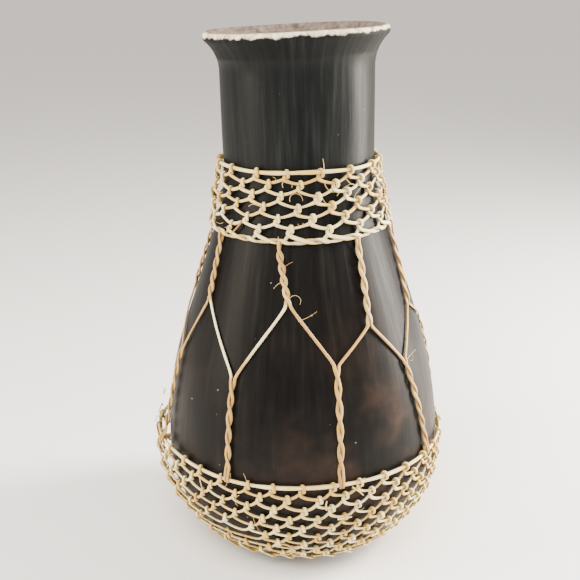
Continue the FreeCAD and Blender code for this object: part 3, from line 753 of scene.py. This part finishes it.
def course(knots, row, lift, held, bare=()):
    """Hitches on the strand above, with loops that hang to the next row. A loop falls steeply from
    its knot and rises slowly to the next. Knots whose numbers are in bare were never tied."""
    bow = 1.9 * HALF_WIDE
    corners, sign = [], 1
    fall, drop = knots.fall, 1.1 - knots.fall
    for number in range(knots.loops):
        wide, tone = loop_width(number, row), tone_at(number, row)
        knot_angle, knot_along = knots.at(row, number)
        angle, along = knots.at(row + 1, number)
        next_angle, next_along = knots.at(row, number + 1)
        around = around_at(angle, along)
        loop = [(angle - bow / around, along), (angle + bow / around, along)]
        if number not in bare:
            corners += hitch((knot_angle, knot_along), lift, held, sign, KNOT_WIDE * wide, tone)
            low = knot_along - 4.3 * HALF_WIDE
            loop.insert(0, (knot_angle + (angle - knot_angle) * fall, low + (along - low) * drop))
        if (number + 1) % knots.loops not in bare:
            loop.append((angle + (next_angle - angle) * 0.55, along + (next_along - along) * 0.22))
        corners += [Corner(side, up, LAY, OUT * -sign, SLIM * wide, tone) for side, up in loop]
        sign = -sign
    return with_ends(corners, knots.at(row, 0), lift)


def last_course(knots, row):
    """The lowest loops go down the front of the closing ring and up behind it."""
    corners, sign = [], 1
    deep = 2.2 * HALF_THICK
    for number in range(knots.loops):
        wide, tone = loop_width(number, row), tone_at(number, row)
        corners += hitch(knots.at(row, number), LAY, STRIP, sign, wide, tone)
        angle, _ = knots.at(row + 1, number)
        around = around_at(angle, closing_along)
        for side, up, out, facing in ((-1.8, 0.9, deep, OUT), (-0.9, -1.5, deep, (0, -0.7, 0.7)),
                                      (0.9, -1.5, -deep, (0, -0.7, -0.7)), (1.8, 0.9, -deep, (0, 0, -1))):
            corners.append(Corner(angle + side * HALF_WIDE / around, closing_along + up * HALF_WIDE,
                                  LAY + out, Vector(facing) * -sign, wide, tone))
    return with_ends(corners, knots.at(row, 0), LAY)


def ring_route(along, lift, count, tone):
    """A plain hoop of this many corners that starts and ends overlapped."""
    return [Corner(2 * pi * n / count, along + 0.35 * mm * sin(5 * n / count * 2 * pi + 1), lift, OUT,
                   1.0 + 0.08 * sin(n), tone + 0.12 * sin(1.7 * n)) for n in range(-2, count + 3)]


def tie(node, route, half_sizes=STRIP):
    """Make one strand of the net from its half width and half thickness."""
    strand(node, route, straw_cane, "cane", *half_sizes)


tie("neck_hoop", ring_route(neck_hoop_along, hoop_lift, 48, 0.2), NECK_HOOP)
for row in range(NECK_COURSES):
    holder = (LAY, STRIP) if row else (hoop_lift, NECK_HOOP)
    tie("neck_course_%d" % (row + 1), course(neck_knots, row, *holder))
tie("base_hoop", ring_route(base_hoop_along, hoop_lift, 72, 0.1), BASE_HOOP)
for row in range(BASE_COURSES - 1):
    holder = (LAY, STRIP) if row else (hoop_lift, BASE_HOOP)
    tie("base_course_%d" % (row + 1), course(base_knots, row, *holder, UNTIED.get(row, ())))
tie("base_course_%d" % BASE_COURSES, last_course(base_knots, BASE_COURSES - 1))
tie("closing_ring", ring_route(closing_along, LAY, 48, 0.4))
print("courses made")

# %% [markdown]
# ## The ring at the foot of the neck
#
# The neck net ends in a ring of two strands laid round each other. One of them hangs from the last
# row of knots, and the other only follows it, half a turn behind.

# %% Neck ring
RING_TWIST = 1.55 * mm
# share of the way to the next knot, up and out in twists, and the way the strip faces
HUNG = ((0.36, 0, 1, (0, 0, -1)), (RING_LOW, -1, 0, (0, 1, 0)), (0.82, 0, -1, (0, 0, 1)))
FOLLOWING = ((-0.03, -1, 0, (0, -1, 0)), (0.36, 0, -1, (0, 0, -1)), (RING_LOW, 1, 0, (0, 1, 0)),
             (0.82, 0, 1, (0, 0, 1)))


def ring_strands():
    """The routes of the strand that ties the last knots and of the one laid round it."""
    looped, laid = [], []
    for number in range(NECK_LOOPS):
        angle, along = neck_knots.at(NECK_COURSES, number)
        pitch = neck_knots.at(NECK_COURSES, number + 1)[0] - angle
        wide, tone = loop_width(number, 6), tone_at(number, 6)
        looped += hitch((angle, along), LAY, STRIP, 1, wide, tone)
        for corners, steps, width in ((looped, HUNG, wide), (laid, FOLLOWING, 1.1 * wide)):
            corners += [Corner(angle + share * pitch, ring_along + up * RING_TWIST,
                               ring_lift + out * RING_TWIST, facing, width, tone)
                        for share, up, out, facing in steps]
    return with_ends(looped, neck_knots.at(NECK_COURSES, 0), LAY), laid + laid[:3]


ring_looped, ring_laid = ring_strands()
tie("ring_course", ring_looped, (1.1 * HALF_WIDE, HALF_THICK))
tie("ring_strand", ring_laid, (1.15 * HALF_WIDE, HALF_THICK))
print("neck ring made")

# %% [markdown]
# ## The hangers
#
# Eight strands join the two nets. Each is folded over the ring, its two halves are twisted together
# for a hand's breadth, part at a fork, meet the neighbour's half at a join, and are twisted again
# down to the base hoop. There each half goes down the front of the hoop and is tucked up behind.

# %% Twisted legs
# angle in degrees, and share of the way from the neck ring to the base hoop
FORKS = [(-54, 0.28), (-6, 0.25), (34, 0.36), (68, 0.35), (122, 0.27), (170, 0.33), (212, 0.26), (262, 0.31)]
JOINS = [(-70.5, 0.56), (-30, 0.575), (15, 0.51), (50.5, 0.56), (100, 0.54), (150, 0.58), (194, 0.53),
         (240, 0.57)]
RIGHT, FRONT, LEFT, BACK = 0, 1, 2, 3  # quarter turns at which a ply can start
PALE_RUNS = {(0, True): (-0.3, -0.2), (1, False): (-0.25, 0.45)}
PLY_WIDE = 1.15 * mm
PLY_THICK = 0.68 * mm
TWIST = 1.4 * mm
TWIST_DEPTH = 0.95 * mm
LEG_LIFT = 2.05 * mm
RUN_LIFT = 1.3 * mm
HOOK_WIDE = 0.8


def share_along(share):
    return ring_along - share * (ring_along - base_hoop_along)


def hanger_top(number):
    left = neck_knots.at(NECK_COURSES, 2 * number + 3)[0]
    right = neck_knots.at(NECK_COURSES, 2 * number + 4)[0]
    return left + RING_LOW * (right - left) + radians(3 if number == 2 else 0)


def hanger_end(number):
    knot = round(number * BASE_LOOPS / HANGERS) + 9
    return base_knots.at(0, knot)[0] + 5.6 * mm / around_at(0, base_hoop_along)


def twisted(top, bottom, start_side, quarters, turned, tones):
    """One ply of a twisted leg from top to bottom, turning clockwise seen from above. turned is 1, or
    -1 for a ply that shows its back. An uneven twist is tighter in one place than in another."""
    corners = []
    steps = 2 * quarters
    for step in range(steps + 1):
        share = step / steps
        angle = top[0] + (bottom[0] - top[0]) * share
        along = top[1] + (bottom[1] - top[1]) * share
        phase = pi / 2 * (start_side - step / 2)
        loose = 1 + 0.15 * sin(3 * step + start_side)
        side = TWIST * loose * cos(phase) / around_at(angle, along)
        tone = tones[0] + (tones[1] - tones[0]) * share
        corners.append(Corner(angle + side, along, LEG_LIFT + TWIST_DEPTH * sin(phase),
                              (0.5 * turned * cos(phase), 0, turned), 1.05, tone))
    return corners


def near(angle, other):
    """The same angle, in the turn that lies closest to the other."""
    return angle + 2 * pi * round((other - angle) / (2 * pi))


def half_hanger(number, right, tones):
    """From the fold over the ring down to the base hoop."""
    top = hanger_top(number)
    fork, fork_share = FORKS[number]
    fork = near(radians(fork), top)
    meeting = number + 1 if right else number
    join, join_share = JOINS[meeting % HANGERS]
    join = near(radians(join), fork)
    end = near(hanger_end(meeting % HANGERS), join)
    facing = 1 if right else -1
    over, clear = 2.6 * mm, 1.6 * mm
    corners = [Corner(top, ring_along + up, ring_lift + facing * clear, turned, 1, tones[0])
               for up, turned in ((0.6 * mm, (0, 0.7, 0.7 * facing)), (-over, (0, 0, facing)))]
    fork_at = (fork, share_along(fork_share))
    join_at = (join, share_along(join_share))
    corners += twisted((top, ring_along - over - 3 * mm), fork_at, FRONT if right else BACK, 9, facing,
                       tones[:2])
    lower = twisted(join_at, (end, base_hoop_along + 8 * mm), LEFT if right else RIGHT, 10, facing,
                    tones[4:])
    for share in (0.05, 0.25, 0.5, 0.75, 0.95):
        tight = place(*fork_at).lerp(place(*join_at), share)
        corners.append(Corner(near(atan2(tight.x, -tight.y), fork),
                              fork_at[1] + (join_at[1] - fork_at[1]) * share, RUN_LIFT,
                              OUT * facing, 0.9, tones[2] + (tones[3] - tones[2]) * share))
    corners += lower
    deep = (BASE_HOOP[1] + PLY_THICK) * 1.08
    high = (BASE_HOOP[0] + PLY_THICK) * 1.06
    beside = facing * HOOK_WIDE * PLY_WIDE / around_at(end, base_hoop_along)
    for up, out, turned in ((3 * mm, deep, OUT), (-high, deep, (0, -0.7, 0.7)),
                            (-high, -deep, (0, -0.7, -0.7)), (4 * mm, -deep, (0, 0, -1))):
        corners.append(Corner(end + beside, base_hoop_along + up, hoop_lift + out, Vector(turned) * facing,
                              HOOK_WIDE, tones[5]))
    return corners


def hanger_tones(number, right):
    """Tone at the ring and fork, at both ends of the single run, and at the join and hoop; a few
    single runs are nearly white."""
    change = 0.12 * sin(2.1 * number + (1.3 if right else 0))
    tones = [0.5 + change, 0.42 + change, 0.5, 0.55 - change, 0.5 + change, 0.62 - change]
    tones[2:4] = PALE_RUNS.get((number, right), tones[2:4])
    return tones


for number in range(HANGERS):
    route = half_hanger(number, False, hanger_tones(number, False))[::-1]
    route += half_hanger(number, True, hanger_tones(number, True))
    strand("hanger_%d" % (number + 1), route, tan_cane, "cane_ply", PLY_WIDE, PLY_THICK)
print("%d hangers made" % HANGERS)

# %% [markdown]
# ## Loose ends and hairs
#
# Cane tears where it is bent hard, so hairs stand up along the strands, and a few cut ends were left
# long. They are the same strip, only narrower, with a heading that turns as it goes. The larger ends
# are listed one by one, and the hairs are spread over the rows by a fixed rule.

# %% Loose ends and hairs
def loose_end(angle, along, heading, length, curl, rise, wide, tone=0.3):
    """Angle in degrees, sizes in millimetres; heading 0 is to the right and 90 is up."""
    corners, steps = [], 7
    angle, along, heading = radians(angle), along * mm, radians(heading)
    for step in range(steps + 1):
        share = step / steps
        corners.append(Corner(angle, along, LAY + (0.5 + rise * share) * mm, OUT,
                              wide * (1 - 0.45 * share), tone))
        angle += length * mm / steps * cos(heading) / around_at(angle, along)
        along += length * mm / steps * sin(heading)
        heading += radians(curl) / steps
    return corners


CUT_ENDS = [
    (17, 303, 86, 12, 18, 1.5, 0.45), (18.5, 101, -35, 9, -20, 2.5, 1.3), (18.8, 103, 15, 8, 30, 2, 1),
    (8.5, 87, 105, 8, -30, 2.5, 1.4), (5, 79, 20, 8, 60, 1.5, 1), (13, 78.5, 4, 9, 5, 1.2, 1.7, 0),
    (-44.5, 98, -70, 12, 20, 2, 1.2), (-35, 60, -55, 8, 0, 2, 1.2),
    (-39, 273, -115, 12, -20, 1, 1.8, 0.9), (-10, 54, 20, 22, -260, 4, 1.7, 0.6),
    (-2, 52, 160, 18, 240, 4, 1.6, 0.5), (-88, 118, 60, 15, -260, 3, 1.3),
    (-84, 108, 100, 13, 250, 3.5, 1.3), (-92, 128, -60, 13, -240, 2, 1.1),
    (76, 296, 60, 12, -250, 2.5, 1.1), (70, 285, 120, 12, 220, 3, 1.1),
    (82, 276, 60, 12, -240, 2.5, 1.2), (74, 268, 80, 10, 260, 2.5, 1.2),
    (118, 100, -60, 12, 60, 2, 1.4), (171, 282, -100, 10, 40, 2, 1.3),
    (-140, 92, -80, 13, -50, 2, 1.4),
]
HAIRS = [
    (-5.5, 226, 60, 13, -205, 1.2, 0.26), (-1.2, 212, 20, 13, 18, 1.5, 0.28),
    (-9, 237, 205, 7, 40, 1.5, 0.34), (-9.2, 245, 50, 8, -30, 1.5, 0.34, 0.8),
    (51.5, 174.5, 22, 11, -20, 1.5, 0.32), (53, 173, -50, 9, 250, 1.5, 0.4, 1.2),
    (-19, 301, -50, 9, 240, 1.5, 0.35), (-10, 297, 110, 14, -250, 2.5, 0.4),
    (-5.5, 288, 100, 15, -220, 3, 0.32),
    (34, 300, -60, 20, 170, 3, 0.35), (26, 290, 60, 13, -60, 3, 0.3), (14, 294, -80, 10, 30, 2, 0.3),
    (-21.5, 104, 95, 8, 15, 2, 0.4), (-20, 79, -80, 12, 40, 3, 0.3), (38, 285, 70, 12, -40, 3, 0.3),
]
for number in range(110):
    spread = sin(12.9 * number) * 0.5 + 0.5
    if number % 3 == 0:
        angle, along = 62 + 42 * spread, 268 + 40 * (number * 0.618 % 1)
    elif number % 3 == 1:
        angle, along = number * 137.5 % 360, 264 + 40 * spread
    else:
        angle, along = number * 137.5 % 360, 42 + 62 * spread
    HAIRS.append((angle, along, number * 77 % 360, 4 + 6 * spread, 200 * sin(number), 2.5,
                  0.26 + 0.1 * spread))

loose_ends = sweep_strip("loose_ends", [loose_end(*end) for end in CUT_ENDS + HAIRS], straw_cane,
                         **{"Width": 1.0 * mm, "Thickness": 0.65 * mm, "Fibre Height": 0.02 * mm})
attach(loose_ends, "root")

# %% [markdown]
# ## Floor, light and camera
#
# A wide flat floor of white paper runs off to the horizon under an even pale sky. A narrow, warm
# light stands at the left, a stronger one at the right draws the pale stripe down the black clay,
# and a broad soft one hangs above in front. The camera is just above the lip and looks a little down.

# %% Stage
REACH = 40
AIM = (0, 0, 0.2)
CAMERA_AT = (0, -0.619, 0.3935)
PITCH, ROLL = radians(71.3), radians(-1.02)

floor_mesh = bpy.data.meshes.new("floor")
corners = [(side * REACH, back * REACH, 0) for side, back in ((-1, -1), (1, -1), (1, 1), (-1, 1))]
floor_mesh.from_pydata(corners, [], [(0, 1, 2, 3)])
floor = put("floor", floor_mesh)
paper = bpy.data.materials.new("matt_white_paper")
paper.use_nodes = True
surface = paper.node_tree.nodes["Principled BSDF"].inputs
surface["Base Color"].default_value, surface["Roughness"].default_value = linear("#f4f3f1"), 0.9
floor_mesh.materials.append(paper)

world = bpy.data.worlds.new("studio")
bpy.context.scene.world = world
world.use_nodes = True
sky = world.node_tree.nodes["Background"].inputs
sky["Color"].default_value, sky["Strength"].default_value = linear("#fff8ee"), 1.0


def soft_light(name, spot, wide, high, power, colour="#ffffff"):
    """A lit rectangle that faces the pot."""
    lamp = bpy.data.lights.new(name, "AREA")
    lamp.shape, lamp.size, lamp.size_y = "RECTANGLE", wide, high
    lamp.energy, lamp.color = power, linear(colour)[:3]
    way = Vector(AIM) - Vector(spot)
    put(name, lamp).matrix_world = (
        Matrix.Translation(spot) @ way.to_track_quat("-Z", "Y").to_matrix().to_4x4())


soft_light("window_left", (-1.0, -0.35, 0.55), 0.22, 0.9, 18, "#fff0dc")
soft_light("window_right", (1.0, 0.2, 0.5), 0.3, 1.0, 76, "#fff6ea")
soft_light("sky", (-0.2, -0.7, 1.2), 0.8, 0.8, 24)

lens = bpy.data.cameras.new("camera")
lens.lens, lens.sensor_width = 57.1, 36
lens.shift_x = -0.0174
lens.clip_start = 0.01
camera = put("camera", lens)
camera.matrix_world = (Matrix.Translation(CAMERA_AT) @ Matrix.Rotation(PITCH, 4, "X")
                       @ Matrix.Rotation(ROLL, 4, "Z"))
bpy.context.scene.camera = camera
print("stage and camera ready")
